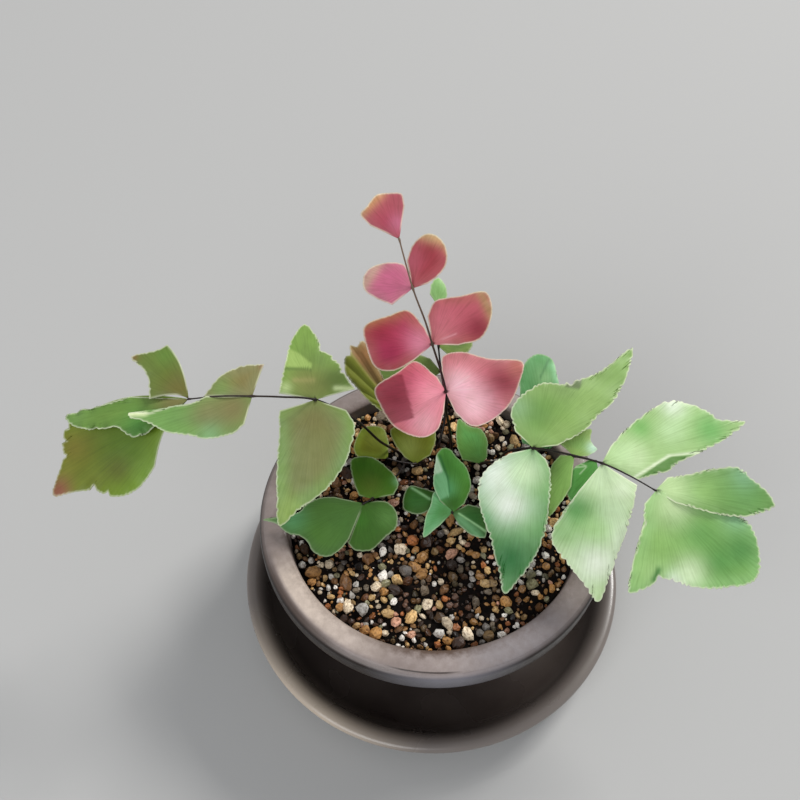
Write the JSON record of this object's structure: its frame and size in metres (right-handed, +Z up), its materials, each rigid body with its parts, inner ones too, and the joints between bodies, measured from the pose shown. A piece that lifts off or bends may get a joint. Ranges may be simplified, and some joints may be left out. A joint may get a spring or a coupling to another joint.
{
  "type": "potted maidenhair fern",
  "caption": "Young maidenhair fern with wiry dark stalks and broad fan leaflets, green and pink, in a glazed bowl pot filled with gritty soil on a shallow dark saucer.",
  "frame": {"origin": "middle of the saucer's flat underside", "axes": "+Z up, +X to the right, -Y towards the side that the fern is looked at from"},
  "size_m": [0.198, 0.1218, 0.139],
  "materials": {
    "saucer_glaze": "dark glossy glaze",
    "pot_glaze": "grey-mauve glossy glaze",
    "soil": "dark soil with pale grit",
    "stalk": "near-black wiry stalk, satin",
    "green_leaf": "satin fresh green leaf with fine radiating veins",
    "blue_green_leaf": "satin mid-green leaf with fine radiating veins",
    "olive_leaf": "satin olive leaf with fine radiating veins",
    "pink_leaf": "glossy rose-pink young leaf with fine radiating veins"
  },
  "bodies": {
    "root": {"saucer": "saucer_glaze", "pot": "pot_glaze", "soil": "soil", "left_frond_stalk": "stalk", "left_frond_leaflets": "green_leaf", "pink_frond_stalk": "stalk", "pink_frond_leaflets": "pink_leaf", "right_frond_stalk": "stalk", "right_frond_leaflets": "green_leaf", "back_frond_stalk": "stalk", "back_frond_leaflets": "green_leaf", "folded_frond_stalk": "stalk", "folded_frond_leaflets": "olive_leaf", "olive_frond_stalk": "stalk", "olive_frond_leaflets": "olive_leaf", "low_left_frond_stalk": "stalk", "low_left_frond_leaflets": "blue_green_leaf", "middle_frond_stalk": "stalk", "middle_frond_leaflets": "blue_green_leaf", "low_right_frond_stalk": "stalk", "low_right_frond_leaflets": "blue_green_leaf"}
  },
  "joints": []
}
